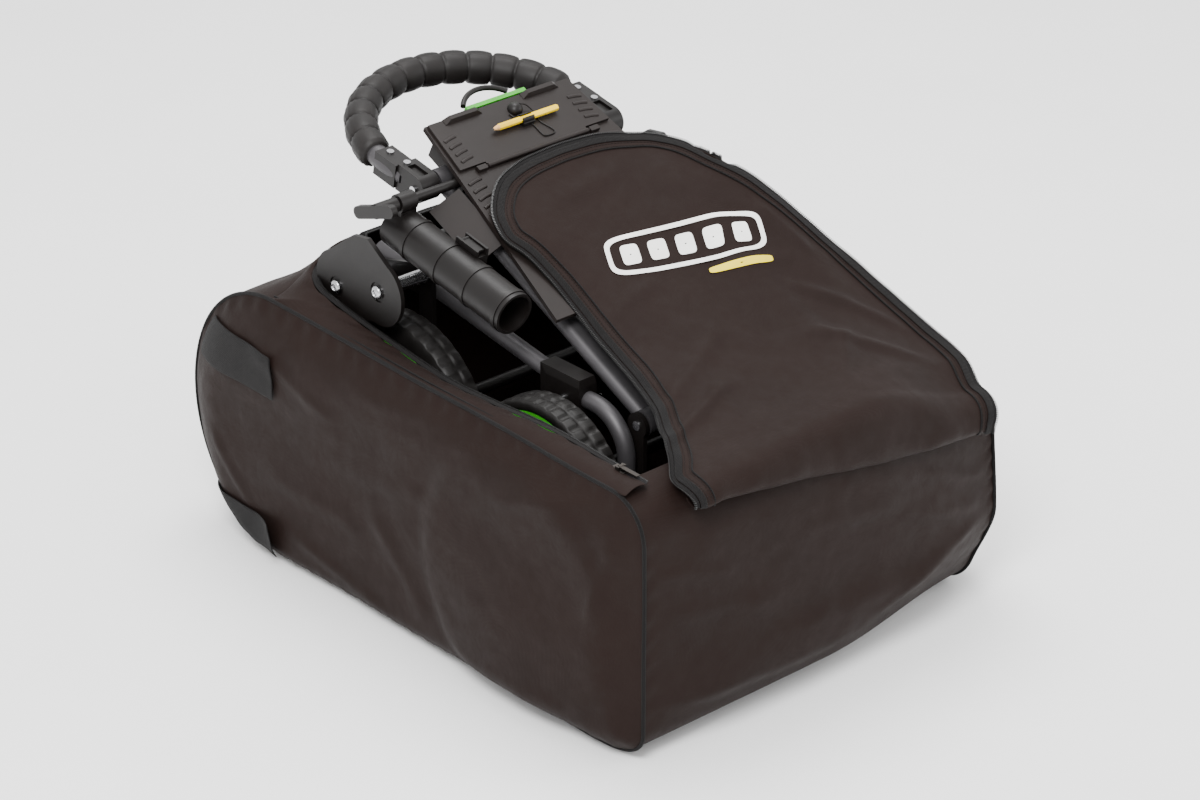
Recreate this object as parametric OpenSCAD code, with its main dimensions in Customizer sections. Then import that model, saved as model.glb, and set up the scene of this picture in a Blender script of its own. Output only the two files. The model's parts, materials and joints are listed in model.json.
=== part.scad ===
// Folded four-wheel golf push cart lying in its soft zip-up travel cover.
// The cover's front panel faces -Y, the cart's handle lies toward +Y, X runs across, Z is up.
// Every module is drawn with Y measured from the cover's front seam, then moved to the middle.

/* [Cover] */
// Width between the two side seams
cover_w = 594; // [580:2:606]
// Thickness of the nylon walls
wall = 3; // [2:0.5:3]
// How far each side panel stands out at its middle
side_bulge = 23; // [12:1:28]
// Width of the slope round each side panel's raised middle
bulge_rim = 75; // [60:5:90]
// How far the front panel stands out
front_bulge = 18; // [10:1:20]
// Half width of the zipped opening
mouth_half = 264; // [260:1:268]
// Height of the top seam where the front corner ends
front_h = 343; // [338:1:345]
// Radius of the front top corner
corner_r = 57; // [50:1:60]
// Height of the raised back edge of the opening
yoke_h = 399; // [380:1:405]
// Half length of the yoke's straight top edge
yoke_half = 205; // [180:5:230]

/* [Flap] */
// Thickness of the flap
flap_t = 3; // [2:0.5:3]
// Width of the zip tape round its edge
zip_w = 8; // [6:1:10]

/* [Wheels] */
// Radius of the two rear wheels (11.5 inch wheels)
rear_r = 145; // [140:1:145]
// Radius of the two front wheels (9.5 inch wheels)
front_r = 120; // [115:1:120]
// Width of a tyre
tyre_w = 44; // [38:1:44]
// Distance of each wheel's middle from the cart's centre
wheel_x = 205; // [205:1:208]
// Radius where the front tyres meet their rims
front_rim_r = 101; // [98:1:103]
// Radius where the rear tyres meet their rims
rear_rim_r = 105; // [100:1:112]
// Height of the rear axle
axle_z = 219; // [215:1:222]
// How much higher the front axle is
front_lift = 8; // [0:1:9]

/* [Frame] */
// Radius of the lower side tubes
lower_r = 11; // [9:1:11]
// Width of the oval upper tubes
upper_w = 30; // [26:1:30]
// Depth of the oval upper tubes
upper_d = 20; // [18:1:20]
// Radius of the pin that the upper frame folds on
fold_r = 6; // [5:0.5:7]
// Radial clearance of every running fit
fit = 0.05; // [0.02:0.01:0.09]

/* [Handle] */
// Radius of the handle's bend at the tube centre
loop_r = 156; // [154:1:160]
// Radius of the handle tube
handle_r = 13.5; // [12:0.5:14]
// Radius of the rubber grip
grip_r = 21.5; // [19:0.5:22]

/* [Umbrella holder] */
// Outer radius of the holder
holder_r = 27; // [26:0.5:27]
// Radius of the socket inside it
socket_r = 23.5; // [20:0.5:24]
// Length of the holder
holder_l = 220; // [200:5:220]

/* [Hidden] */
$fn = 48;
mid_y = 414.75;         // front seam to the middle of the whole object
half_w = cover_w / 2;
back_c = [681, 178];    // centre of the rounded back end
back_r = [164, 178];    // its radii along Y and Z
heel_y = 140;           // where the bottom starts to rise toward the front
toe_z = 26;             // height of the front bottom seam
back_h = back_c[1] + back_r[1];
corner_c = [corner_r, front_h - corner_r];
top_slope = (back_h - front_h) / (back_c[0] - corner_r);
mouth_y = [corner_r, 688];
strap_z = [[240, 300], [8, 62]];   // upper and lower webbing straps
strap_y = 645;                     // where their ends lie on the side panels

flap_axis = [14, 350];
flap_section = [flap_axis, [75, 357], [150, 376], [280, 424], [503, 527]];

zip_rest_y = 75;
pull_h = 8.6;

tilt = atan(0.5);                  // slope of the upper frame and console
console_at = [0, 570.6, 555];      // the console's origin, in the middle near its far edge
tube_n = -34.6;                    // upper tubes below the console's top plane
fold_s = -454;                     // fold pin and handle pin, along the console's slope
grip_s = -34;
upper_x = 118;
lower_x = 153;
fold_at = [180, 321];              // fold pin in the cover's Y and Z
lower_tilt = 9.6;
front_axle = [262, axle_z + front_lift];
rear_axle = [532, axle_z];
knuckle_y = 283;
leg_x = lower_x + lower_r;
leg_t = 6;
axle_r = 8;
rail_z = wall + lower_r + 0.2;
plate_x = 240;
plate_bolts_at = [[531, 405], [611, 385]];
bolt_r = 5;

handle_x = 151;
handle_tilt = 11;
loop_u = 60;                       // pin to the centre of the handle's bend
loop_end = 11;                     // the bend runs this many degrees past the half circle
arm_s = -60;                       // arm that carries the umbrella holder
arm_n = -13;
arm_r = 6;
holder_x = -207;
holder_tilt = 11.4;
holder_drop = 38;                  // pivot to the holder's axis
latch_t = -92;
lid_s = -62;
lid_n = 3.4;
pencil_s = -19;
pencil_n = 10.6;

fabric = [0.25, 0.22, 0.21];
binding = [0.16, 0.14, 0.13];
tube_grey = [0.45, 0.44, 0.45];
black_plastic = [0.13, 0.12, 0.12];
console_black = [0.30, 0.27, 0.26];
rubber = [0.17, 0.16, 0.15];
lime = [0.35, 0.72, 0.25];
steel = [0.75, 0.75, 0.77];

// ---------------------------------------------------------------- helpers

module placed(c) {
    color(c)
        translate([0, -mid_y, 0])
            children();
}

// Extrudes a Y-Z outline along X
module along_x(x0, x1) {
    translate([x0, 0, 0])
        rotate([90, 0, 90])
            linear_extrude(x1 - x0)
                children();
}

// Left and right copies of what is drawn at +X
module both_sides() {
    children();
    mirror([1, 0, 0])
        children();
}

module bar_x(x0, x1, y, z, r) {
    translate([x0, y, z])
        rotate([0, 90, 0])
            cylinder(h = x1 - x0, r = r);
}

module rod(a, b, r) {
    v = b - a;
    translate(a)
        rotate([0, acos(v[2] / norm(v)), atan2(v[1], v[0])])
            cylinder(h = norm(v), r = r);
}

// The console's sloping frame: X across, Y up the slope, Z away from the surface
module console_frame() {
    translate(console_at)
        rotate([tilt, 0, 0])
            children();
}

// The handle's frame: origin on its pivot pins, Y toward the bend
module handle_frame() {
    console_frame()
        translate([0, grip_s, tube_n])
            rotate([handle_tilt - tilt, 0, 0])
                children();
}

// The umbrella holder's frame: origin on its pivot arm, Y toward its closed end
module holder_frame() {
    console_frame()
        translate([holder_x, arm_s, arm_n])
            rotate([holder_tilt - tilt, 0, 0])
                children();
}

// The left zip run's frame: origin on the top border under the slider
module slider_frame() {
    translate([-mouth_half, zip_rest_y, top_z(zip_rest_y)])
        rotate([atan(top_slope), 0, 0])
            children();
}

function top_z(y) = front_h + top_slope * (y - corner_r);

function arc(c, r, a0, a1, n) =
    [for (i = [0 : n]) let (a = a0 + (a1 - a0) * i / n) [c[0] + r[0] * cos(a), c[1] + r[1] * sin(a)]];

// Side outline of the cover, moved inward by d
function outline(d) = concat(
    [[heel_y, d]],
    arc(back_c, [back_r[0] - d, back_r[1] - d], -90, 90, 24),
    arc(corner_c, [corner_r - d, corner_r - d], 90, 180, 8),
    [[d, toe_z]]
);

module ring_2d(outer, inner) {
    difference() {
        polygon(outline(outer));
        polygon(outline(inner));
    }
}

// ---------------------------------------------------------------- cover

// Solid pan of the right side panel, grown outward by g and started at depth base
module pan(g, base) {
    hull() {
        along_x(half_w - wall - base, half_w - wall + 0.5)
            polygon(outline(-g));
        along_x(half_w + side_bulge + g - 0.5, half_w + side_bulge + g)
            polygon(outline(bulge_rim - g));
    }
}

module side_panel() {
    difference() {
        pan(0, 0);
        pan(-wall, 1);
    }
}

module side_panel_right() {
    placed(fabric)
        side_panel();
}

module side_panel_left() {
    placed(fabric)
        mirror([1, 0, 0])
            side_panel();
}

// The strip of wall that runs round between the side panels
module gusset() {
    along_x(-half_w + wall, half_w - wall)
        ring_2d(0, wall);
}

module front_dish(y_out, grow) {
    hull() {
        translate([-half_w + wall - grow, y_out + front_bulge, toe_z + 1 - grow])
            cube([cover_w - 2 * wall + 2 * grow, wall, corner_c[1] - toe_z - 1 + 2 * grow]);
        translate([-225, y_out, 75])
            cube([450, 0.5, 160]);
    }
}

module front_panel() {
    placed(fabric) {
        difference() {
            front_dish(-front_bulge, 0);
            translate([0, wall, 0])
                front_dish(-front_bulge, -8);
        }
        intersection() {
            gusset();
            translate([-half_w, -1, corner_c[1] - 1])
                cube([cover_w, corner_r + 1, corner_r + 10]);
        }
    }
}

module bottom_panel() {
    placed(fabric)
        intersection() {
            gusset();
            translate([-half_w, -1, -1])
                cube([cover_w, 701, toe_z + 1.5]);
        }
}

module back_panel() {
    placed(fabric)
        difference() {
            intersection() {
                gusset();
                translate([-half_w, 700, -1])
                    cube([cover_w, 200, 400]);
            }
            translate([-half_w, 690, 300])
                cube([cover_w, 47, 100]);
        }
}

module top_border() {
    placed(fabric)
        both_sides()
            intersection() {
                gusset();
                translate([mouth_half, corner_r, 300])
                    cube([half_w - mouth_half, 737 - corner_r, 100]);
            }
}

// Back edge of the opening, which stands up behind the cart's frame
module back_yoke() {
    placed(fabric)
        intersection() {
            along_x(-mouth_half, mouth_half)
                polygon([[737.2, 345.6], [mouth_y[1], yoke_h], [mouth_y[1] - 2.3, yoke_h - 2],
                         [735, 342.5]]);
            yoke_plan(0);
        }
}

// The yoke's plan, whose ends are cut off so that the opening has rounded corners
module yoke_plan(d) {
    linear_extrude(500)
        polygon([[-mouth_half, 750], [-mouth_half, 715], [-yoke_half + d, 680], [yoke_half - d, 680],
                 [mouth_half, 715], [mouth_half, 750]]);
}

// Roll of slack fabric where the flap leaves the front panel
module front_fold() {
    placed(fabric)
        along_x(-mouth_half + 8, mouth_half - 8)
            polygon(concat(
                arc(corner_c, [corner_r + 0.6, corner_r + 0.6], 178, 128, 8),
                arc([corner_c[0], corner_c[1] - 4], [corner_r + 17, corner_r + 17], 130, 174, 8)
            ));
}

module side_piping() {
    placed(binding)
        both_sides()
            difference() {
                along_x(half_w - wall + 0.1, half_w)
                    ring_2d(-2.5, 0);
                translate([0, -10, -10])
                    cube([half_w + 10, 900, 10.4]);
                for (z = strap_z)
                    translate([half_w - 10, strap_y, z[0] - 2])
                        cube([20, 250, z[1] - z[0] + 4]);
            }
}

module zip_teeth() {
    placed(black_plastic) {
        both_sides()
            along_x(mouth_half - 3, mouth_half + 3)
                polygon([for (p = [[mouth_y[0] + 3, 0], [mouth_y[1] - 3, 0], [mouth_y[1] - 3, 3],
                                   [mouth_y[0] + 3, 3]]) [p[0], top_z(p[0]) + p[1]]]);
        along_x(-yoke_half - 8, yoke_half + 8)
            polygon([[mouth_y[1], yoke_h], [mouth_y[1] - 2.3, yoke_h - 2], [mouth_y[1] - 3.8, yoke_h],
                     [mouth_y[1] - 1.5, yoke_h + 2]]);
    }
}

// Hook-and-loop strap that wraps round the back end onto both side panels
module strap(z) {
    intersection() {
        union() {
            both_sides()
                difference() {
                    pan(2.2, 0);
                    pan(0.3, 1);
                }
            along_x(-half_w + wall, half_w - wall)
                ring_2d(-2.2, -0.3);
        }
        translate([-400, strap_y, z[0]])
            cube([800, 300, z[1] - z[0]]);
    }
}

module strap_upper() {
    placed(binding)
        strap(strap_z[0]);
}

module strap_lower() {
    placed(binding)
        strap(strap_z[1]);
}

// ---------------------------------------------------------------- flap and zip

module flap_plan() {
    polygon(concat(
        [[-250, 14], [-222, 60], [-185, 120], [-150, 200], [-135, 280], [-128, 380]],
        arc([-75, 447], [53, 53], 180, 90, 10),
        arc([88, 350], [156, 148], 90, 0, 14),
        [[248, 280], [253, 200], [256, 14]]
    ));
}

// Layer of the flap between two heights above its middle surface
module flap_layer(lo, hi) {
    along_x(-260, 260)
        polygon(concat(
            [for (p = flap_section) [p[0], p[1] + lo]],
            [for (i = [len(flap_section) - 1 : -1 : 0]) [flap_section[i][0], flap_section[i][1] + hi]]
        ));
}

module flap_panel() {
    placed(fabric) {
        intersection() {
            flap_layer(-flap_t / 2, flap_t / 2);
            linear_extrude(700)
                flap_plan();
        }
        bar_x(-248, 254, flap_axis[0], flap_axis[1], 4);
    }
}

module flap_zip_tape() {
    placed(black_plastic)
        intersection() {
            flap_layer(flap_t / 2, flap_t / 2 + 1.5);
            linear_extrude(700)
                difference() {
                    flap_plan();
                    offset(delta = -zip_w)
                        flap_plan();
                    translate([-300, 0])
                        square([600, 40]);
                }
        }
}

module zip_slider() {
    placed(steel)
        slider_frame() {
            for (x = [-6, 3.4])
                translate([x, -11, 0.4])
                    cube([2.6, 22, 5.6]);
            translate([-6, -11, 3.4])
                cube([12, 22, 2.6]);
            for (x = [-6, 3.4])
                translate([x, -3, 5.9])
                    cube([2.6, 6, 4.4]);
            bar_x(-5, 5, 0, pull_h, 1);
        }
}

module zip_pull() {
    placed(steel)
        slider_frame()
            difference() {
                union() {
                    bar_x(-3, 3, 0, pull_h, 2.4);
                    translate([-3, -30, pull_h - 0.8])
                        cube([6, 29, 1.6]);
                }
                bar_x(-4, 4, 0, pull_h, 1 + fit);
            }
}

// ---------------------------------------------------------------- cart: lower frame

module lower_side_tubes() {
    placed(tube_grey)
        both_sides()
            translate([lower_x, knuckle_y, lower_z(knuckle_y)])
                rotate([lower_tilt - 90, 0, 0])
                    cylinder(h = 360, r = lower_r);
}

function lower_z(y) = fold_at[1] + 1 + tan(lower_tilt) * (y - fold_at[0]);

module lower_cross_tubes() {
    placed(tube_grey) {
        bar_x(-lower_x + lower_r, lower_x - lower_r, 618, lower_z(618), 9);
        for (y = [215, 600])
            bar_x(-lower_x + lower_r, lower_x - lower_r, y, rail_z, 9);
    }
}

// Rails under the wheels that the folded cart lies on
module base_rails() {
    placed(tube_grey)
        both_sides()
            rod([lower_x, 160, rail_z], [lower_x, 640, rail_z], lower_r);
}

// Cast blocks that join the lower tubes to the bent front tubes
module knuckles() {
    placed(black_plastic)
        both_sides()
            difference() {
                hull() {
                    translate([lower_x - 14, 253, 310])
                        cube([28, 60, 40]);
                    translate([lower_x - 12, 255, 306])
                        cube([24, 70, 54]);
                }
                translate([lower_x, knuckle_y - 0.2, lower_z(knuckle_y)])
                    rotate([lower_tilt - 90, 0, 0])
                        cylinder(h = 80, r = lower_r + fit);
            }
}

// Grey tubes that bend down in front of the knuckles
module bent_tubes() {
    bend = 55;
    bend_c = [240, 277];
    placed(tube_grey)
        both_sides()
            translate([lower_x, 0, 0]) {
                translate([0, bend_c[0], bend_c[1]])
                    rotate([90, 0, 90])
                        rotate_extrude(angle = 90, start = 90)
                            translate([bend, 0])
                                circle(r = lower_r);
                rod([0, bend_c[0], bend_c[1] + bend], [0, 252.8, bend_c[1] + bend], lower_r);
                rod([0, bend_c[0] - bend, rail_z + lower_r + 0.2], [0, bend_c[0] - bend, bend_c[1]],
                    lower_r);
            }
}

// Flat leg plate with a boss for an axle, as a Y-Z outline
module leg_outline(at, top) {
    translate([at[0] - 13, wall + 0.3])
        square([26, top - wall - 0.3]);
    translate(at)
        circle(r = 18);
    translate([at[0], top])
        circle(r = 13);
}

module front_legs() {
    placed(black_plastic)
        both_sides()
            along_x(leg_x, leg_x + leg_t - 3)
                difference() {
                    leg_outline(front_axle, 290);
                    translate(front_axle)
                        circle(r = axle_r + fit);
                }
}

module rear_legs() {
    placed(black_plastic)
        both_sides()
            along_x(leg_x, leg_x + leg_t)
                difference() {
                    union() {
                        leg_outline(rear_axle, plate_bolts_at[0][1]);
                        translate([plate_bolts_at[1][0], plate_bolts_at[1][1]])
                            circle(r = 13);
                        polygon([plate_bolts_at[0] + [3, 13], plate_bolts_at[1] + [3, 12.6],
                                 plate_bolts_at[1] + [-3, -12.6], plate_bolts_at[0] + [0, -30]]);
                    }
                    translate(rear_axle)
                        circle(r = axle_r + fit);
                    for (p = plate_bolts_at)
                        translate(p)
                            circle(r = bolt_r + fit);
                }
}

// Plates that hold the fold pin between the bent tubes
module fold_brackets() {
    placed(black_plastic)
        both_sides()
            along_x(136, 141.8)
                difference() {
                    union() {
                        translate(fold_at)
                            circle(r = 16);
                        translate([fold_at[0] - 12, 150])
                            square([24, fold_at[1] - 150]);
                    }
                    translate(fold_at)
                        circle(r = fold_r + fit);
                }
}

module fold_pin() {
    placed(steel)
        bar_x(-143, 143, fold_at[0], fold_at[1], fold_r);
}

module axle_bar(at) {
    placed(steel) {
        bar_x(-wheel_x - 26, wheel_x + 26, at[0], at[1], axle_r);
        both_sides()
            bar_x(wheel_x + 26, wheel_x + 29, at[0], at[1], axle_r + 4);
    }
}

module front_axle() {
    axle_bar(front_axle);
}

module rear_axle() {
    axle_bar(rear_axle);
}

// Rounded black plates that stand outside the rear wheels
module side_plates() {
    placed(black_plastic)
        both_sides()
            difference() {
                along_x(plate_x, plate_x + 6) {
                    translate([608, 392])
                        circle(r = 42);
                    translate([530, 405])
                        circle(r = 44);
                    polygon([[540, 362], [598, 351], [622, 432], [576, 466], [548, 470], [500, 437]]);
                }
                for (p = plate_bolts_at)
                    bar_x(plate_x - 1, plate_x + 7, p[0], p[1], bolt_r + fit);
                for (p = plate_bolts_at)
                    bar_x(plate_x + 4, plate_x + 7, p[0], p[1], 13);
            }
}

// Bolts and spacers that carry the side plates, and the rivets in the knuckles
module frame_fasteners() {
    placed(steel)
        both_sides() {
            for (p = plate_bolts_at) {
                bar_x(leg_x - 1, plate_x + 7, p[0], p[1], bolt_r);
                bar_x(plate_x + 4, plate_x + 9, p[0], p[1], 8);
                bar_x(leg_x + leg_t, plate_x, p[0], p[1], 9);
            }
            bar_x(lower_x + 14, lower_x + 17, 282, 329, 4);
        }
}

// ---------------------------------------------------------------- wheels

// Spins an outline of [along the axle, distance from the axle] about the X axis
module wheel_turn() {
    rotate([0, 90, 0])
        rotate_extrude($fn = 96)
            children();
}

module wheel_at(side, at) {
    translate([side * wheel_x, at[0], at[1]])
        children();
}

module tyre(side, at, r, rim_r) {
    placed(rubber)
        wheel_at(side, at)
            wheel_turn()
                polygon(concat(
                    [[rim_r + 4, -tyre_w / 2 + 7]],
                    arc([r - 12, 0], [12, tyre_w / 2], -80, 80, 12),
                    [[rim_r + 4, tyre_w / 2 - 7]]
                ));
}

module rim(side, at, rim_r) {
    spokes = 12;
    placed(tube_grey)
        wheel_at(side, at) {
            wheel_turn()
                translate([rim_r - 8, -14])
                    square([12, 28]);
            difference() {
                wheel_turn()
                    translate([0, -20])
                        square([26, 40]);
                bar_x(-30, 30, 0, 0, axle_r + fit);
            }
            for (i = [0 : spokes - 1])
                rotate([i * 360 / spokes, 0, 0])
                    translate([-6, -4, 24])
                        cube([12, 8, rim_r - 30]);
        }
}

// Coloured trim ring on the outer face of each wheel
module wheel_ring(side, at, rim_r) {
    placed(lime)
        wheel_at(side, at)
            rotate([0, 0, side > 0 ? 0 : 180])
                wheel_turn()
                    translate([rim_r - 8, 14])
                        square([12, 6]);
}

module tyre_front_left() {
    tyre(-1, front_axle, front_r, front_rim_r);
}

module tyre_front_right() {
    tyre(1, front_axle, front_r, front_rim_r);
}

module tyre_rear_left() {
    tyre(-1, rear_axle, rear_r, rear_rim_r);
}

module tyre_rear_right() {
    tyre(1, rear_axle, rear_r, rear_rim_r);
}

module rim_front_left() {
    rim(-1, front_axle, front_rim_r);
}

module rim_front_right() {
    rim(1, front_axle, front_rim_r);
}

module rim_rear_left() {
    rim(-1, rear_axle, rear_rim_r);
}

module rim_rear_right() {
    rim(1, rear_axle, rear_rim_r);
}

module ring_front_left() {
    wheel_ring(-1, front_axle, front_rim_r);
}

module ring_front_right() {
    wheel_ring(1, front_axle, front_rim_r);
}

module ring_rear_left() {
    wheel_ring(-1, rear_axle, rear_rim_r);
}

module ring_rear_right() {
    wheel_ring(1, rear_axle, rear_rim_r);
}

// ---------------------------------------------------------------- cart: upper frame and console

module oval_2d() {
    square([upper_w - upper_d, upper_d], center = true);
    for (x = [-1, 1])
        translate([x * (upper_w - upper_d) / 2, 0])
            circle(d = upper_d);
}

module upper_tubes() {
    placed(tube_grey)
        console_frame()
            both_sides()
                difference() {
                    union() {
                        translate([upper_x, fold_s, tube_n])
                            rotate([-90, 0, 0])
                                linear_extrude(grip_s - fold_s)
                                    oval_2d();
                        for (s = [fold_s, grip_s])
                            bar_x(upper_x - 15, upper_x + 15, s, tube_n, 16);
                    }
                    bar_x(upper_x - 20, upper_x + 20, fold_s, tube_n, fold_r + fit);
                    bar_x(upper_x - 20, upper_x + 20, grip_s, tube_n, 5 + fit);
                }
}

module upper_cross_tubes() {
    placed(tube_grey)
        console_frame()
            for (s = [-300, -130])
                bar_x(-upper_x + 15, upper_x - 15, s, tube_n, 8);
}

module handle_pins() {
    placed(steel)
        console_frame()
            both_sides()
                bar_x(upper_x - 17, 168, grip_s, tube_n, 5);
}

function deck_half(s) = 117 + (24 - s) / 324 * 41;

module console_tray() {
    placed(console_black)
        console_frame() {
            difference() {
                union() {
                    translate([0, 0, -6])
                        linear_extrude(6)
                            polygon([[-deck_half(-300), -300], [deck_half(-300), -300],
                                     [deck_half(24), 24], [-deck_half(24), 24]]);
                    translate([-100, -56, -48])
                        cube([200, 72, 43]);
                }
                translate([-97.5, -53.5, -45.5])
                    cube([195, 67, 60]);
            }
            for (x = [-1, 1])
                for (s = [-230, -100])
                    translate([x * upper_x, s, tube_n + upper_d / 2])
                        cylinder(h = -tube_n - upper_d / 2 - 5, r = 7);
            for (x = [-1, 1])
                translate([x * 92 - 7, lid_s - 4, -0.5])
                    cube([14, 7, 6]);
            bar_x(-90, 90, lid_s, lid_n, 1.5);
        }
}

// Smooth side covers that slope down from the console's edges
module console_wings() {
    placed(console_black)
        console_frame()
            both_sides()
                translate([deck_half(-168) - 8, -168, -6.4])
                    rotate([0, 35, 0])
                        translate([0, 0, -3])
                            cube([46, 95, 3]);
}

module trim_strip() {
    placed(lime)
        console_frame()
            translate([-48, 24, -6])
                cube([96, 6, 11]);
}

// Dark hoop of the drink holder behind the console
module cup_ring() {
    placed(black_plastic)
        console_frame()
            translate([-8, 8, -2])
                rotate_extrude(angle = 104, start = 38)
                    translate([46, 0])
                        circle(r = 3.5);
}

module console_lid() {
    placed(console_black)
        console_frame()
            difference() {
                union() {
                    translate([0, 0, 0.4])
                        linear_extrude(4)
                            polygon([[-122, lid_s + 6], [122, lid_s + 6], [114, 22], [-114, 22]]);
                    translate([-82, lid_s, 0.4])
                        cube([164, 7, 4]);
                    bar_x(-82, 82, lid_s, lid_n, 3);
                    for (x = [-92, 34])
                        hull() {
                            translate([x, 13, 4])
                                cube([58, 9, 1]);
                            translate([x + 8, 15, 4])
                                cube([42, 6, 7]);
                        }
                }
                bar_x(-83, 83, lid_s, lid_n, 1.5 + fit);
            }
}

module pencil_clip() {
    placed(black_plastic)
        console_frame()
            difference() {
                union() {
                    translate([2, pencil_s - 8, 4.4])
                        cube([18, 16, pencil_n - 4.4]);
                    bar_x(2, 20, pencil_s, pencil_n, 6);
                    difference() {
                        translate([11, 2, 4.4])
                            sphere(r = 10);
                        translate([-10, -20, -16])
                            cube([40, 40, 20.4]);
                    }
                }
                bar_x(0, 22, pencil_s, pencil_n, 3.6 + fit);
                translate([0, pencil_s - 2.5, pencil_n])
                    cube([22, 5, 10]);
            }
}

module pencil() {
    placed([0.97, 0.77, 0.12])
        console_frame() {
            bar_x(-34, 62, pencil_s, pencil_n, 3.6);
            translate([-34, pencil_s, pencil_n])
                rotate([0, -90, 0])
                    cylinder(h = 11, r1 = 3.6, r2 = 0.8);
        }
}

// ---------------------------------------------------------------- handle

module handle_bend(a0, a1, r) {
    translate([0, loop_u, 0])
        rotate_extrude(angle = a1 - a0, start = a0)
            translate([loop_r, 0])
                circle(r = r);
}

module handle_tube() {
    placed(tube_grey)
        handle_frame()
            handle_bend(-loop_end, 180 + loop_end, handle_r);
}

module handle_grip() {
    placed(rubber)
        handle_frame()
            difference() {
                handle_bend(10, 170, grip_r);
                handle_bend(8, 172, handle_r + fit);
            }
}

// Black fitting that clamps one end of the handle tube and turns on its pin
module handle_end() {
    difference() {
        union() {
            bar_x(handle_x - 14, handle_x + 14, 0, 0, 18);
            translate([handle_x - 14, 0, -18])
                cube([28, 34, 36]);
            translate([handle_x - 10, 34, -16])
                cube([27, 40, 32]);
        }
        bar_x(handle_x - 16, handle_x + 16, 0, 0, 5 + fit);
        handle_bend(-loop_end - 1, 20, handle_r + fit);
        translate([handle_x - 5, -2, 14])
            cube([12, 26, 10]);
        for (u = [30, 62])
            translate([handle_x + 3, u, 12])
                cylinder(h = 20, r = 2.5 + fit);
    }
}

module handle_end_right() {
    placed(black_plastic)
        handle_frame()
            handle_end();
}

module handle_end_left() {
    placed(black_plastic)
        handle_frame()
            mirror([1, 0, 0])
                handle_end();
}

module handle_screws() {
    placed(steel)
        handle_frame()
            both_sides()
                for (p = [[30, 18], [62, 16]]) {
                    translate([handle_x + 3, p[0], 14])
                        cylinder(h = p[1] - 13.5, r = 2.5);
                    translate([handle_x + 3, p[0], p[1]])
                        cylinder(h = 2.4, r = 4.5);
                }
}

// ---------------------------------------------------------------- umbrella holder

module umbrella_arm() {
    placed(black_plastic)
        console_frame() {
            bar_x(holder_x - 39, -104, arm_s, arm_n, arm_r);
            translate([-124, arm_s - 12, arm_n - 7])
                cube([20, 22, -arm_n + 1]);
        }
}

module umbrella_holder() {
    placed(black_plastic)
        holder_frame()
            difference() {
                union() {
                    translate([0, 8, -holder_drop])
                        rotate([90, 0, 0])
                            cylinder(h = holder_l, r = holder_r);
                    for (t = [-30, -88, -142, -200])
                        translate([0, t, -holder_drop])
                            rotate([90, 0, 0])
                                cylinder(h = 6, r = holder_r + 1.2);
                    bar_x(-12, 12, 0, 0, 12);
                    translate([-12, -10, -20])
                        cube([24, 20, 12]);
                    translate([10, -126, -30])
                        cube([18, 40, 26]);
                }
                translate([0, -8, -holder_drop])
                    rotate([90, 0, 0])
                        cylinder(h = holder_l, r = socket_r);
                bar_x(-14, 14, 0, 0, arm_r + fit);
                translate([13, -127, -13])
                    cube([12, 42, 10]);
                bar_x(9, 29, latch_t, -8, 1.5 + fit);
            }
}

// Lever that clamps the umbrella's shaft
module umbrella_latch() {
    placed(black_plastic)
        holder_frame() {
            translate([13.3, -121.5, -9.4])
                cube([11.4, 28, 2.8]);
            bar_x(13.3, 24.7, latch_t, -8, 3);
            bar_x(10.5, 27.5, latch_t, -8, 1.5);
        }
}

// Wing knob that clamps the holder at its angle
module umbrella_knob() {
    placed(black_plastic)
        console_frame()
            translate([holder_x, arm_s, arm_n])
                difference() {
                    union() {
                        bar_x(-46, -14, 0, 0, 9.5);
                        hull() {
                            for (y = [-1, 1])
                                bar_x(-49, -41, 22 * y, -22 * y, 8);
                        }
                    }
                    bar_x(-39.5, -13, 0, 0, arm_r + fit);
                }
}

side_panel_left();
side_panel_right();
front_panel();
bottom_panel();
back_panel();
top_border();
back_yoke();
front_fold();
side_piping();
zip_teeth();
strap_upper();
strap_lower();
flap_panel();
flap_zip_tape();
zip_slider();
zip_pull();
lower_side_tubes();
lower_cross_tubes();
base_rails();
knuckles();
bent_tubes();
front_legs();
rear_legs();
fold_brackets();
fold_pin();
front_axle();
rear_axle();
side_plates();
frame_fasteners();
tyre_front_left();
tyre_front_right();
tyre_rear_left();
tyre_rear_right();
rim_front_left();
rim_front_right();
rim_rear_left();
rim_rear_right();
ring_front_left();
ring_front_right();
ring_rear_left();
ring_rear_right();
upper_tubes();
upper_cross_tubes();
handle_pins();
console_tray();
console_wings();
trim_strip();
cup_ring();
console_lid();
pencil_clip();
pencil();
handle_tube();
handle_grip();
handle_end_left();
handle_end_right();
handle_screws();
umbrella_arm();
umbrella_holder();
umbrella_latch();
umbrella_knob();
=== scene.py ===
"""Looks of a folded push cart in its soft travel cover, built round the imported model."""
import json
import math

import bpy
import numpy as np
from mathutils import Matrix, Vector, noise


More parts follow.
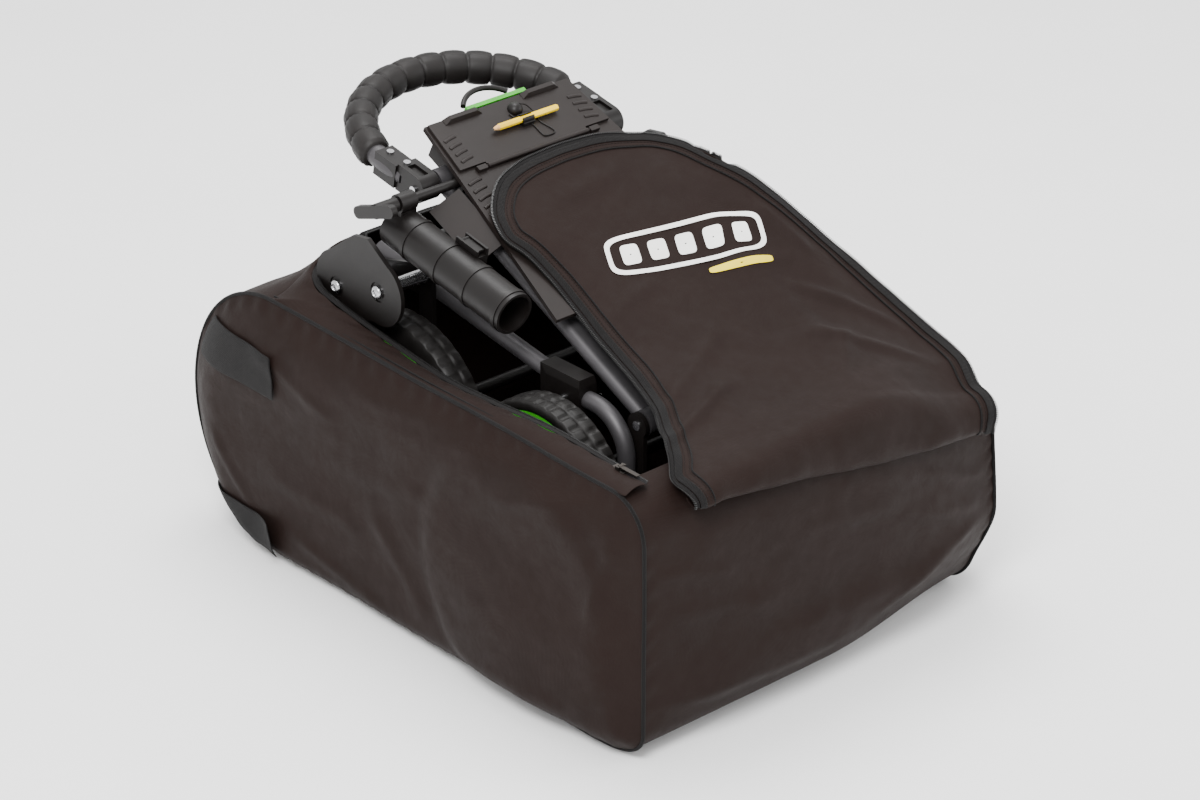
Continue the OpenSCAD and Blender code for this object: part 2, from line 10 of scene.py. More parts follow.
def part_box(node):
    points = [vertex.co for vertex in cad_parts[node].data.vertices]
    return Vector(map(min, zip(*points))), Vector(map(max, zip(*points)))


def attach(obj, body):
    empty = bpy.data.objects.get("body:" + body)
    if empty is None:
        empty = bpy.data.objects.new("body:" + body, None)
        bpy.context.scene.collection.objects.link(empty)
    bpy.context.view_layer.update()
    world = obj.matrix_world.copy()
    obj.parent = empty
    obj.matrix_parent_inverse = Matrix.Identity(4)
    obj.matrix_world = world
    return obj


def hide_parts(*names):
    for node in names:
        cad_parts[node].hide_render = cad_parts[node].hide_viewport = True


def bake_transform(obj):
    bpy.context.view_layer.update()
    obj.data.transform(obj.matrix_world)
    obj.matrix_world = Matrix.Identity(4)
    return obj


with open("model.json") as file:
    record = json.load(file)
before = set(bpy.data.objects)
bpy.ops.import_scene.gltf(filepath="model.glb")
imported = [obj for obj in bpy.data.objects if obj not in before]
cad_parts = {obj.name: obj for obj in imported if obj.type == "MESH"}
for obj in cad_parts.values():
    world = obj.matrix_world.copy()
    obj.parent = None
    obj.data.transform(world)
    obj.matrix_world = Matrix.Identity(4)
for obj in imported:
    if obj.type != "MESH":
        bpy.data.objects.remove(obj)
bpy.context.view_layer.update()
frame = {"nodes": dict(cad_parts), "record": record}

MM = 0.001
TINY = 1e-12                                    # keeps a division by a length of 0 finite
CLOTH_THICK, TAPE_THICK, WEB_THICK, PRINT_THICK = 1.2, 0.9, 1.8, 0.35
SEAM_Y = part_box("side_panel_left")[0].y / MM    # the cover's front seam, in the frame's millimetres


# ---- shapes in cover millimetres

def metres(points):
    """Cover millimetres, with y from the front seam, to metres in the shared frame."""
    return (np.asarray(points, float) + [0, SEAM_Y, 0]) * MM


def smooth(a, b, x):
    """0 at a, 1 at b, with soft ends."""
    t = np.clip((np.asarray(x, float) - a) / (b - a), 0, 1)
    return t * t * (3 - 2 * t)


def bump(x, centre, width):
    """1 at the centre, fading to 0 on both sides."""
    return np.exp(-((np.asarray(x, float) - centre) / width) ** 2)


def spline(points, n):
    """n points, evenly spaced, on a smooth curve through the given ones."""
    between = 24
    p = np.asarray(points, float)
    p = np.vstack([2 * p[0] - p[1], p, 2 * p[-1] - p[-2]])
    out = []
    for i in range(1, len(p) - 2):
        for t in np.linspace(0, 1, between, endpoint=False):
            a, b, c, d = p[i - 1], p[i], p[i + 1], p[i + 2]
            out.append(0.5 * (2 * b + (c - a) * t + (2 * a - 5 * b + 4 * c - d) * t ** 2
                              + (3 * b - a - 3 * c + d) * t ** 3))
    out.append(p[-2])
    return even(out, n)


def even(points, n):
    """The same line with n points spaced evenly along it. Columns after the third are carried along."""
    p = np.asarray(points, float)
    s = np.r_[0, np.cumsum(np.linalg.norm(np.diff(p[:, :3], axis=0), axis=1))]
    at = np.linspace(0, s[-1], n)
    return np.stack([np.interp(at, s, p[:, k]) for k in range(p.shape[1])], 1)


def arc(centre, radii, start, end, n):
    """n points on an ellipse, from one angle in degrees to another."""
    a = np.radians(np.linspace(start, end, n))
    return np.stack([centre[0] + radii[0] * np.cos(a), centre[1] + radii[1] * np.sin(a)], 1)


def bezier(a, b, c, n):
    """n points on a curve from a to c that leaves towards b."""
    t = np.linspace(0, 1, n)[:, None]
    return (1 - t) ** 2 * np.array(a) + 2 * t * (1 - t) * np.array(b) + t ** 2 * np.array(c)


def coons(low, high, left, right):
    """Grid between four edge curves: low and high run along a, left and right along b."""
    n, m = len(low), len(left)
    a = np.linspace(0, 1, n)[:, None, None]
    b = np.linspace(0, 1, m)[None, :, None]
    across = (1 - a) * left[None] + a * right[None]
    along = (1 - b) * low[:, None] + b * high[:, None]
    corners = ((1 - a) * (1 - b) * low[0] + a * (1 - b) * low[-1]
               + (1 - a) * b * high[0] + a * b * high[-1])
    return across + along - corners


def rough(points, size, seed):
    """Smooth noise from -1 to 1 at each point, with features of about that many millimetres."""
    flat = np.asarray(points, float).reshape(-1, 3) / size + seed
    values = [noise.noise(Vector(p)) for p in flat]
    return np.array(values).reshape(np.asarray(points).shape[:-1])


def crease(a, b, start, end, width):
    """1 along the straight line from start to end in a plane with axes a and b, fading over width."""
    p = np.stack([a, b], -1) - np.array(start, float)
    d = np.array(end, float) - np.array(start, float)
    length = np.linalg.norm(d)
    along = (p @ d) / length ** 2
    off = (p @ np.array([-d[1], d[0]])) / length
    return np.exp(-(off / width) ** 2) * smooth(-0.05, 0.25, along) * smooth(1.05, 0.75, along)


def unit(v):
    """Vectors scaled to length 1."""
    return v / (np.linalg.norm(v, axis=-1, keepdims=True) + TINY)


def side_name(side):
    return "left" if side < 0 else "right"


def grid_faces(n, m, closed=False):
    """Faces of a grid of n by m points; a closed one joins its last row to its first."""
    rows = n if closed else n - 1
    return [(i * m + j, ((i + 1) % n) * m + j, ((i + 1) % n) * m + j + 1, i * m + j + 1)
            for i in range(rows) for j in range(m - 1)]


def ring_faces(n, sides, closed=False):
    """Faces of n rings of points; an open stack gets a cap at each end."""
    around = n if closed else n - 1
    faces = [(i * sides + j, i * sides + (j + 1) % sides,
              ((i + 1) % n) * sides + (j + 1) % sides, ((i + 1) % n) * sides + j)
             for i in range(around) for j in range(sides)]
    if not closed:
        faces += [tuple(range(sides))[::-1], tuple((n - 1) * sides + j for j in range(sides))]
    return faces


# ---- objects

def place(obj, body, replaces=()):
    """Hides the CAD nodes a piece stands for and puts it on the body it rides on."""
    if replaces:
        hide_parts(*replaces)
    if body:
        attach(obj, body)
    return obj


def mesh_object(name, points, faces, material, body, slot=None, replaces=(), flat=False):
    """A mesh from points in cover millimetres, riding on a body."""
    data = bpy.data.meshes.new(name)
    data.from_pydata([tuple(p) for p in metres(points)], [], [tuple(f) for f in faces])
    data.validate()
    data.update()
    if flat:
        data.shade_flat()
    else:
        data.shade_smooth()
    data.materials.append(material)
    obj = bpy.data.objects.new(name, data)
    bpy.context.scene.collection.objects.link(obj)
    return place(obj, body, replaces)


def modifier(obj, kind, **values):
    """Adds a modifier with the given settings."""
    made = obj.modifiers.new(kind.lower(), kind)
    for key, value in values.items():
        setattr(made, key, value)
    return made


def cloth_object(name, grid, material, body, thick=CLOTH_THICK, offset=-1, closed=False, **more):
    """A sheet of fabric from a grid of points, with real thickness."""
    n, m = grid.shape[:2]
    obj = mesh_object(name, grid.reshape(-1, 3), grid_faces(n, m, closed), material, body, **more)
    modifier(obj, "SOLIDIFY", thickness=thick * MM, offset=offset, use_even_offset=False)
    modifier(obj, "SUBSURF", levels=1, render_levels=1)
    return obj


def frames(path, closed=False):
    """Two directions square to the path at each of its points, without twist."""
    p = np.asarray(path, float)
    if closed:
        t = np.roll(p, -1, 0) - np.roll(p, 1, 0)
    else:
        t = np.gradient(p, axis=0)
    t /= np.linalg.norm(t, axis=1)[:, None] + TINY
    steep = abs(t[0][2]) >= 0.9
    ref = np.array([1.0, 0, 0]) if steep else np.array([0, 0, 1.0])
    u = np.cross(t[0], ref)
    u /= np.linalg.norm(u)
    us = []
    for k in t:
        u = u - k * (u @ k)
        u = u / np.linalg.norm(u)
        us.append(u)
    us = np.array(us)
    return us, np.cross(t, us)


def tube_points(path, radius, sides, closed=False):
    """Rings round a path. radius is a number, or an array of (points, sides)."""
    u, v = frames(path, closed)
    a = np.linspace(0, 2 * math.pi, sides, endpoint=False)
    r = np.broadcast_to(radius, (len(path), sides))[..., None]
    return (np.asarray(path)[:, None] + r * (u[:, None] * np.cos(a)[None, :, None]
                                             + v[:, None] * np.sin(a)[None, :, None]))


def tube(name, path, radius, material, body, sides=10, closed=False, **more):
    """A round piece along a path in cover millimetres."""
    rings = tube_points(path, radius, sides, closed)
    faces = ring_faces(len(path), sides, closed)
    return mesh_object(name, rings.reshape(-1, 3), faces, material, body, **more)


def join(objects, name):
    """Several mesh objects as one."""
    for o in bpy.context.selected_objects:
        o.select_set(False)
    for o in objects:
        o.select_set(True)
    bpy.context.view_layer.objects.active = objects[0]
    bpy.ops.object.join()
    objects[0].name = name
    return objects[0]


# ---- materials

class Paint:
    """A node material made step by step. Patterns follow the object's own coordinates."""

    PATCH_LOW, PATCH_HIGH = 0.35, 0.65      # noise values where a patch starts and is full

    def __init__(self, name, colour, rough_value, metallic=0.0, **sockets):
        self.material = bpy.data.materials.new(name)
        self.material.use_nodes = True
        self.tree = self.material.node_tree
        self.shader = self.tree.nodes["Principled BSDF"]
        self.place = self.tree.nodes.new("ShaderNodeTexCoord").outputs["Object"]
        self.colour = None
        self.height = None
        self.base = colour
        self.set(self.shader, "Base Color", (*colour, 1))
        self.set(self.shader, "Roughness", rough_value)
        self.set(self.shader, "Metallic", metallic)
        for key, value in sockets.items():
            self.set(self.shader, key.replace("_", " "), value)

    @staticmethod
    def set(node, socket, value):
        node.inputs[socket].default_value = value

    def node(self, kind, **inputs):
        """A node with its inputs set or linked, by name or, as i0, i1, by number."""
        made = self.tree.nodes.new(kind)
        for key, value in inputs.items():
            which = int(key[1:]) if key.startswith("i") else key.replace("_", " ")
            socket = made.inputs[which]
            if isinstance(value, bpy.types.NodeSocket):
                self.tree.links.new(value, socket)
            else:
                socket.default_value = value
        return made

    def math(self, operation, a, b=0.0):
        made = self.node("ShaderNodeMath", i0=a, i1=b)
        made.operation = operation
        return made.outputs[0]

    def noise(self, scale, detail=3.0, roughness=0.55, distortion=0.0):
        return self.node("ShaderNodeTexNoise", Vector=self.place, Scale=scale, Detail=detail,
                         Roughness=roughness, Distortion=distortion).outputs["Fac"]

    def ramp(self, value, low, high):
        made = self.node("ShaderNodeMapRange", Value=value, From_Min=low, From_Max=high)
        return made.outputs["Result"]

    def vary(self, scale, light, dark, detail=3.0):
        """Colour varies between two shades in patches; scale is in patches a metre."""
        fac = self.ramp(self.noise(scale, detail), self.PATCH_LOW, self.PATCH_HIGH)
        mix = self.tree.nodes.new("ShaderNodeMix")
        mix.data_type = "RGBA"
        self.tree.links.new(fac, mix.inputs["Factor"])
        mix.inputs[6].default_value = (*(c * dark for c in self.base), 1)
        mix.inputs[7].default_value = (*(min(1, c * light) for c in self.base), 1)
        self.colour = mix.outputs[2]

    def raise_by(self, height, amount):
        """Adds amount times height, in metres, to the surface's relief."""
        scaled = self.math("MULTIPLY", height, amount)
        self.height = scaled if self.height is None else self.math("ADD", self.height, scaled)

    def shine(self, fac, low, high):
        """Roughness runs from low to high with fac."""
        made = self.node("ShaderNodeMapRange", Value=fac, To_Min=low, To_Max=high)
        self.tree.links.new(made.outputs["Result"], self.shader.inputs["Roughness"])

    def weave(self, period, amount):
        """Crossed threads, period in metres, on a surface that faces any way."""
        split = self.node("ShaderNodeSeparateXYZ", Vector=self.place)
        k = 2 * math.pi / period
        waves = [self.math("SINE", self.math("MULTIPLY", split.outputs[i], k)) for i in range(3)]
        cloth = self.math("MULTIPLY", waves[0], waves[1])
        cloth = self.math("ADD", cloth, self.math("MULTIPLY", waves[1], waves[2]))
        cloth = self.math("ADD", cloth, self.math("MULTIPLY", waves[2], waves[0]))
        self.raise_by(cloth, amount)

    def done(self):
        """Links the colour and the relief, and gives the material."""
        if self.colour is not None:
            self.tree.links.new(self.colour, self.shader.inputs["Base Color"])
        if self.height is not None:
            made = self.node("ShaderNodeBump", Height=self.height, Strength=1.0, Distance=1.0)
            self.tree.links.new(made.outputs["Normal"], self.shader.inputs["Normal"])
        return self.material


def srgb(r, g, b):
    """Linear colour from 0-255 display values."""
    return tuple(((c / 255 + 0.055) / 1.055) ** 2.4 for c in (r, g, b))


def nylon(name, colour):
    """Thin woven nylon with fine crumples."""
    crumple = 0.0012
    p = Paint(name, colour, 0.62, Sheen_Weight=0.012, Sheen_Roughness=0.4, Specular_IOR_Level=0.1)
    p.vary(9, 1.05, 0.95, detail=4)
    p.weave(0.0011, 0.00004)
    p.raise_by(p.noise(26, 5, 0.6, 0.6), crumple)
    p.raise_by(p.noise(140, 3, 0.6, 0.3), 0.00012)
    p.shine(p.noise(60, 4), 0.52, 0.74)
    return p.done()


def webbing(name, colour):
    """Coarse woven tape with a fuzzy face."""
    p = Paint(name, colour, 0.8, Sheen_Weight=0.03, Sheen_Roughness=0.6, Specular_IOR_Level=0.12)
    p.vary(120, 1.25, 0.8, detail=5)
    p.weave(0.0022, 0.00018)
    p.raise_by(p.noise(900, 3, 0.7), 0.0004)
    return p.done()


def plastic(name, colour, rough_low, rough_high, **sockets):
    """Moulded plastic with a fine grain and slight sink marks."""
    grain = 0.00003
    p = Paint(name, colour, rough_low, **sockets)
    p.vary(14, 1.12, 0.9, detail=4)
    p.raise_by(p.noise(1400, 3, 0.6), grain)
    p.raise_by(p.noise(30, 2), 0.0002)
    p.shine(p.noise(45, 5, 0.7), rough_low, rough_high)
    return p.done()


def metal(name, colour, rough_low, rough_high, metallic=1.0):
    """Painted or bare metal, brushed and a little worn."""
    p = Paint(name, colour, rough_low, metallic)
    p.vary(25, 1.08, 0.88, detail=5)
    p.raise_by(p.noise(220, 4, 0.65), 0.00004)
    p.shine(p.noise(90, 5, 0.7), rough_low, rough_high)
    return p.done()


def rubber(name, colour, grain, low, high):
    """Matt rubber with a grain, dustier in patches."""
    p = Paint(name, colour, 0.6, Specular_IOR_Level=0.26)
    p.vary(35, 1.2, 0.8, detail=5)
    p.raise_by(p.noise(700, 4, 0.65), grain)
    p.shine(p.noise(70, 4), low, high)
    return p.done()


def wood(name, colour):
    """Bare wood, in streaks."""
    p = Paint(name, colour, 0.7)
    p.vary(400, 1.15, 0.8, detail=6)
    p.raise_by(p.noise(900, 3), 0.0001)
    return p.done()


NYLON = nylon("cover_nylon", srgb(26, 16, 13))
TAPE = webbing("zip_tape", srgb(11, 9, 9))
STRAP = webbing("strap_webbing", srgb(14, 12, 12))
TEETH = plastic("zip_teeth", srgb(16, 15, 15), 0.28, 0.45)
ZIP_METAL = metal("zip_metal", srgb(70, 66, 63), 0.3, 0.5)
TUBE = metal("frame_tube", srgb(70, 68, 70), 0.42, 0.58, 0.5)
BLACK = plastic("black_plastic", srgb(15, 12, 11), 0.34, 0.52, Specular_IOR_Level=0.27)
CONSOLE = plastic("console_plastic", srgb(24, 18, 16), 0.42, 0.58, Specular_IOR_Level=0.26)
TYRE = rubber("tyre_rubber", srgb(17, 15, 14), 0.0001, 0.40, 0.60)
WHEEL = plastic("wheel_plastic", srgb(95, 92, 92), 0.4, 0.6)
LIME = plastic("lime_plastic", srgb(52, 150, 30), 0.28, 0.42)
GRIP = rubber("grip_rubber", srgb(20, 17, 16), 0.00012, 0.44, 0.64)
STEEL = metal("steel", srgb(190, 190, 192), 0.16, 0.34)
PENCIL = plastic("pencil_paint", (0.84, 0.56, 0.0), 0.3, 0.45)
CEDAR = wood("pencil_wood", srgb(205, 160, 105))
LEAD = metal("pencil_lead", srgb(50, 50, 52), 0.4, 0.55, 0.3)
PRINT_WHITE = plastic("print_white", srgb(236, 234, 230), 0.5, 0.7)
PRINT_YELLOW = plastic("print_yellow", (0.72, 0.56, 0.01), 0.5, 0.7)
THREAD = webbing("thread", srgb(18, 15, 14))

CAD_MATERIALS = {
    "cover_nylon": NYLON, "binding": TAPE, "zip_plastic": TEETH, "zip_metal": ZIP_METAL,
    "frame_tube": TUBE, "black_plastic": BLACK, "console_plastic": CONSOLE,
    "tyre_rubber": TYRE, "rim_plastic": WHEEL, "lime_plastic": LIME, "grip_rubber": GRIP,
    "steel": STEEL, "pencil_paint": PENCIL,
}
# Frame tubes and axles inside the cover get black plastic in place of their own finish: painted shade for the
# dark inside of the cover.
SHADED_INSIDE_PARTS = ("lower_cross_tubes", "upper_cross_tubes", "front_axle", "rear_axle", "base_rails")
for part in frame["record"]["subparts"]:
    node = frame["nodes"][part["node"]]
    node.data.materials.clear()
    hidden = part["node"] in SHADED_INSIDE_PARTS
    node.data.materials.append(BLACK if hidden else CAD_MATERIALS[part["material_slot"]])


# ---- the cover's shape

WIDE = 297                      # half the width between the side seams
BACK = (681, 178)               # centre of the rounded back end, y and z
BACK_R = (164, 178)
TOP = 356                       # height of the side seam at the back
YOKE = 399                      # height of the opening's raised back edge
LEAVE = 70                      # angle round the back end where the yoke rises from it
FRONT_ARC = (57, 286), (57, 57)     # centre and radii of the side panel's round top front corner
GROUND = 0.4                    # height of the side seam underneath
SLUMP = 58                      # how far the right front corner sinks
LEAN = 12                       # how far it leans back as it sinks
TUCK = 34                       # how far the foot of the front is pushed back
SEAM_POINTS = 520
RIM_LINE = [  # the edge of the zipped opening, on one side
    (264, 30, 346), (264, 66, 348), (264, 178, 351), (264, 300, 345), (264, 394, 344),
    (264, 500, 356), (264, 600, 371), (260, 636, 378), (244, 662, 384), (214, 677, 391),
    (180, 683, 395), (149, 685, 397),
]
RIM_POINTS = 150
YOKE_HALF = RIM_LINE[-1][0]     # half the width of the opening's raised back edge


def settle(points):
    """The whole soft cover leans and slumps a little, most at its right front corner."""
    p = np.array(points, float)
    x, y, z = p[..., 0], p[..., 1], p[..., 2]
    slump = smooth(40, 300, x) * smooth(190, 20, y) * smooth(90, 330, z)
    tuck = smooth(0, 300, x) * smooth(130, 10, z) * smooth(120, 0, y)
    wave = rough(np.stack([x, y * 0.8, z * 0], -1), 170, 3.3)
    p[..., 2] -= SLUMP * slump
    p[..., 1] += LEAN * slump + TUCK * tuck
    p[..., 0] -= 10 * tuck
    p[..., 2] += 3.5 * wave * smooth(250, 350, z)
    p[..., 0] += 2.5 * rough(np.stack([x * 0, y, z], -1), 190, 8.1)
    return p


def side_edges():
    """The side panel's outline in y and z: low, high, front and back edges."""
    foot, shoulder = (0, 40), (0, FRONT_ARC[0][1])
    low = np.vstack([bezier(foot, (2, 8), (60, 4), 14), [(140, GROUND), (BACK[0], GROUND)],
                     arc(BACK, BACK_R, -88, -40, 24)])
    high = np.vstack([arc(*FRONT_ARC, 135, 90, 10), [(BACK[0], TOP)],
                      arc(BACK, BACK_R, 88, 40, 24)])
    front = np.vstack([[foot, shoulder], arc(*FRONT_ARC, 176, 135, 10)])
    back = arc(BACK, BACK_R, -40, 40, 40)
    return low, high, front, back


def outline():
    """The side panel's whole seam as one closed line in y and z."""
    low, high, front, back = side_edges()
    return even(np.vstack([low, back[1:], high[::-1][1:], front[::-1][1:]]), SEAM_POINTS)


def edge_distance(y, z):
    """How far each point of the side panel is from the seam round it."""
    edge = outline()[:-1]
    d = np.hypot(np.asarray(y)[..., None] - edge[:, 0], np.asarray(z)[..., None] - edge[:, 1])
    return d.min(-1)


SIDE_FOLDS = [  # start, end, width, height of each soft fold, in y and z
    ((60, 330), (250, 262), 9, 4.0), ((150, 338), (330, 300), 7, 3.0),
    ((30, 300), (64, 170), 10, 4.5), ((300, 330), (520, 300), 12, 3.0),
    ((420, 20), (640, 64), 11, 4.0), ((360, 50), (470, 170), 14, 3.5),
    ((520, 250), (700, 300), 10, 3.2), ((470, 120), (690, 130), 16, 3.0),
    ((330, 220), (560, 190), 15, 2.6), ((24, 120), (90, 40), 9, 3.5),
    ((600, 330), (760, 240), 9, 3.5), ((700, 60), (790, 150), 9, 3.0),
]


def side_bulge(y, z, seed=0.0):
    """How far the side panel stands out from its seam, with the front wheel pressing from inside."""
    billow, press, wheel_y, wheel_z = 23, 15, 196, 166
    d = edge_distance(y, z)
    rim = 26 + 46 * smooth(0, 170, z)
    swell = billow * np.sin(np.clip(d / rim, 0, 1) * math.pi / 2)
    r = np.hypot(y - wheel_y, z - wheel_z)
    wheel = 7 * smooth(180, 132, r) + 1.5 * bump(r, 152, 12)
    folds = sum(h * crease(y, z, a, b, w) for a, b, w, h in SIDE_FOLDS)
    flat = np.stack([y * 0.55, z, y * 0 + seed], -1)
    crumple = 3.2 * rough(flat, 74, 1.7 + seed) + 1.1 * rough(flat, 24, 5.2 + seed)
    wheel = wheel + press * bump(y, 195, 120) * smooth(4, 50, z) * smooth(240, 90, z)
    pucker = 1.3 * np.sin(np.asarray(y) / 5.2 + 2 * rough(flat, 60, 2.0)) * bump(d, 9, 8)
    return swell + (wheel + folds + crumple) * smooth(0, 34, d) + pucker


def make_side(side):
    """One side panel: bulged, folded and puckered along its seam."""
    low, high, front, back = side_edges()
    n, m = 150, 72
    grid = coons(even(low, n), even(high, n), even(front, m), even(back, m))
    y, z = grid[..., 0], grid[..., 1]
    x = WIDE + side_bulge(y, z, 0 if side < 0 else 4.4)
    points = settle(np.stack([side * x, y, z], -1))
    if side > 0:
        points = points[:, ::-1]
    name = side_name(side)
    cloth_object("cover_side_" + name, points, NYLON, "cover", slot="cover_nylon",
                 replaces=["side_panel_" + name], offset=1)


def body_path():
    """Front, bottom and back of the cover at its side seams, in y and z, top front to top back."""
    low, _, front, back = side_edges()
    top = arc(*FRONT_ARC, 86, 135, 10)
    rise = arc(BACK, BACK_R, 40, LEAVE, 20)
    return np.vstack([top, front[::-1][1:], low[1:], back[1:], rise[1:]])


FRONT_FOLDS = [  # start, end, width, height, in x and z
    ((-280, 70), (60, 52), 10, 5.0), ((-120, 110), (240, 92), 13, 4.5),
    ((-270, 190), (-60, 150), 13, 3.5), ((40, 60), (270, 130), 10, 4.5),
    ((-200, 30), (180, 24), 7, 3.5), ((90, 200), (280, 150), 12, 3.5),
    ((-285, 250), (-160, 215), 9, 4.0), ((150, 250), (285, 205), 10, 4.0),
    ((-60, 235), (120, 205), 12, 3.0),
]


def body_grid():
    """The strip that makes the front, the bottom and the back, from seam to seam."""
    n, m, crowd = 240, 97, 0.92         # crowd brings the points closer together at the seams
    front_belly, foot_belly, back_belly, yoke_y = 19, 9, 7, 688
    path = even(body_path(), n)
    across = WIDE * np.sin(np.linspace(-math.pi / 2, math.pi / 2, m) * crowd) / math.sin(math.pi * crowd / 2)
    tangent = np.gradient(path, axis=0)
    tangent /= np.linalg.norm(tangent, axis=1)[:, None]
    out = np.stack([tangent[:, 1], -tangent[:, 0]], 1)
    x = np.broadcast_to(across, (n, m))
    y, z = (np.repeat(path[:, k:k + 1], m, 1) for k in range(2))
    crown = 1 - np.abs(x / WIDE) ** 3
    front = smooth(70, 0, y) * smooth(8, 90, z) * smooth(352, 250, z)
    rear = smooth(700, 800, y) * smooth(10, 90, z)
    flat = np.stack([x, y, z * 1.5], -1)
    near_seam = 1.4 * np.sin(z / 5.0 + 2 * rough(flat, 70, 2.0)) * bump(WIDE - np.abs(x), 9, 8)
    folds = sum(h * crease(x, z, a, b, w) for a, b, w, h in FRONT_FOLDS)
    crumple = 3.4 * rough(flat, 80, 6.1) + 1.1 * rough(flat, 26, 9.4)
    proud = (front * (front_belly * crown + folds + foot_belly * bump(z, 62, 44) * crown)
             + rear * back_belly * crown + (crumple * crown + near_seam) * np.maximum(front, rear))
    grid = np.stack([x, y + out[:, :1] * proud, z + out[:, 1:] * proud], -1)
    steps = np.linspace(0, 1, 16)[1:, None]
    share = smooth(WIDE, 172, np.abs(across))[None]
    on_end = arc(BACK, BACK_R, LEAVE, 90, 16)[1:]
    last = grid[-1]
    straight = [last[None, :, k] + steps * (v - last[None, :, k])
                for k, v in ((1, yoke_y), (2, YOKE))]
    ends = [share * straight[k] + (1 - share) * on_end[:, k:k + 1] for k in range(2)]
    rise = np.stack([np.broadcast_to(across, ends[0].shape), *ends], -1)
    rise[..., 1] += 3 * rough(rise, 60, 4.0) * share
    return settle(np.vstack([grid, rise]))


def rim_path(side):
    return spline([(side * a, b, c) for a, b, c in RIM_LINE], RIM_POINTS)


def make_band(side, yoke_row):
    """The border between the side seam and the zipped opening."""
    m, on_corner = 9, 38
    seam = np.array([(side * WIDE, 30, 343), (side * WIDE, 57, 343), (side * WIDE, BACK[0], TOP)], float)
    keep = (yoke_row[:, 0] * side > YOKE_HALF) & (yoke_row[:, 0] * side < WIDE - 1)
    corner = yoke_row[keep]
    corner = corner[np.argsort(-corner[:, 0] * side)]
    outer = np.vstack([settle(even(seam, RIM_POINTS - on_corner)), even(corner, on_corner)])
    inner = settle(rim_path(side))
    t = np.linspace(0, 1, m)[None, :, None]
    grid = outer[:, None] * (1 - t) + inner[:, None] * t
    along = np.cumsum(np.r_[0, np.linalg.norm(np.diff(inner, axis=0), axis=1)])[:, None]
    ruffle = np.sin(along / 7.5 + 3 * rough(grid, 90, 2.2)) * (0.6 + 0.5 * rough(grid, 50, 5.0))
    width = np.linalg.norm(outer - inner, axis=1)[:, None]
    lift = 4.5 * np.sin(t[..., 0] * math.pi) + 1.8 * ruffle * smooth(0.2, 1, t[..., 0])
    grid[..., 2] += lift * smooth(0, 26, width)
    if side > 0:
        grid = grid[:, ::-1]
    return cloth_object("cover_top_band_" + side_name(side), grid, NYLON, "cover", slot="cover_nylon")


TOOTH, TOOTH_PITCH = (1.5, 3.2, 2.0), 2.4       # along the tape, across it and out of it
STITCH, STITCH_PITCH = (2.6, 0.7, 0.5), 4.2


def tooth_row(name, path, up, size, pitch, body, material, **more):
    """Small chunky blocks along a line: teeth or stitches. up is the way out of the cloth."""
    length = np.linalg.norm(np.diff(path, axis=0), axis=1).sum()
    n = int(length / pitch)
    line = even(path, n)
    normal = even(up, n)
    ahead = np.gradient(line, axis=0)
    ahead /= np.linalg.norm(ahead, axis=1)[:, None]
    out = unit(np.cross(ahead, normal))
    points, faces = [], []
    box_faces = [(0, 1, 3, 2), (4, 6, 7, 5), (0, 4, 5, 1), (2, 3, 7, 6), (0, 2, 6, 4), (1, 5, 7, 3)]
    for i in range(n):
        k = len(points)
        for a in (-1, 1):
            for b in (-1, 1):
                for c in (0, 1):
                    taper = 0.75 if c else 1
                    points.append(line[i] + ahead[i] * a * size[0] / 2 * taper
                                  + out[i] * (b * size[1] / 2 * taper) + normal[i] * c * size[2])
        faces += [tuple(k + j for j in f) for f in box_faces]
    return mesh_object(name, np.array(points), faces, material, body, flat=True, **more)


def ribbon(path, inward, width, lift, steps=3):
    """Grid of a narrow strip beside a line, from the line inward."""
    t = np.linspace(0, 1, steps)[None, :, None]
    return path[:, None] + inward[:, None] * width * t + lift[:, None]


def make_seams():
    """Piping round both side seams, and a welt beside each along the top."""
    piping_r, welt_r, inset = 2.5, 1.2, 7
    middle = np.array([0, 400, 178.0])
    floor_clear = [-999, -999, 2.3]             # the piping stays above the floor
    piping, welts = [], []
    for side in (-1, 1):
        edge = outline()[:-1]
        loop = np.stack([np.full(len(edge), side * (WIDE - 0.5)), *edge.T], -1)
        loop += unit((loop - middle) * [0, 1, 1]) * 0.8
        line = np.maximum(settle(loop), floor_clear)
        piping.append(tube("piping", line, piping_r, TAPE, "cover", 10, closed=True))
    join(piping, "cover_piping")
    place(piping[0], None, ["side_piping"])
    for side in (-1, 1):
        x = side * (WIDE - inset)
        seam = even([(x, 60, 344), (x, BACK[0], TOP + 1)], 160)
        seam[:, 2] += 2.2
        welts.append(tube("welt", settle(seam), welt_r, TAPE, "cover", 8))
    join(welts, "cover_topstitch_welts")
    place(welts[0], None)


def make_cover():
    """The sewn cover, with the zip's fixed half round its opening."""
    make_side(-1)
    make_side(1)
    grid = body_grid()
    cloth_object("cover_body", grid, NYLON, "cover", slot="cover_nylon",
                 replaces=["front_panel", "bottom_panel", "back_panel"])
    yoke = grid[-1]
    bands = [make_band(side, yoke) for side in (-1, 1)]
    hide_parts("top_border", "back_yoke")
    make_seams()
    tape_wide, rim_points = 9, 700
    left = settle(rim_path(-1))
    right = settle(rim_path(1))
    middle = yoke[np.abs(yoke[:, 0]) < YOKE_HALF]
    rim = even(np.vstack([left, middle, right[::-1]]), rim_points)
    inward = unit((np.array([0, 330, 360.0]) - rim) * [1, 1, 0])
    up = np.tile([0, 0, 1.0], (len(rim), 1))
    cloth_object("cover_zip_tape", ribbon(rim, inward, tape_wide, up), TAPE, "cover", TAPE_THICK,
                 slot="binding", offset=0)
    tooth_row("cover_zip_teeth", rim + inward * tape_wide, up, TOOTH, TOOTH_PITCH, "cover", TEETH,
              slot="zip_plastic", replaces=["zip_teeth"])


# ---- straps

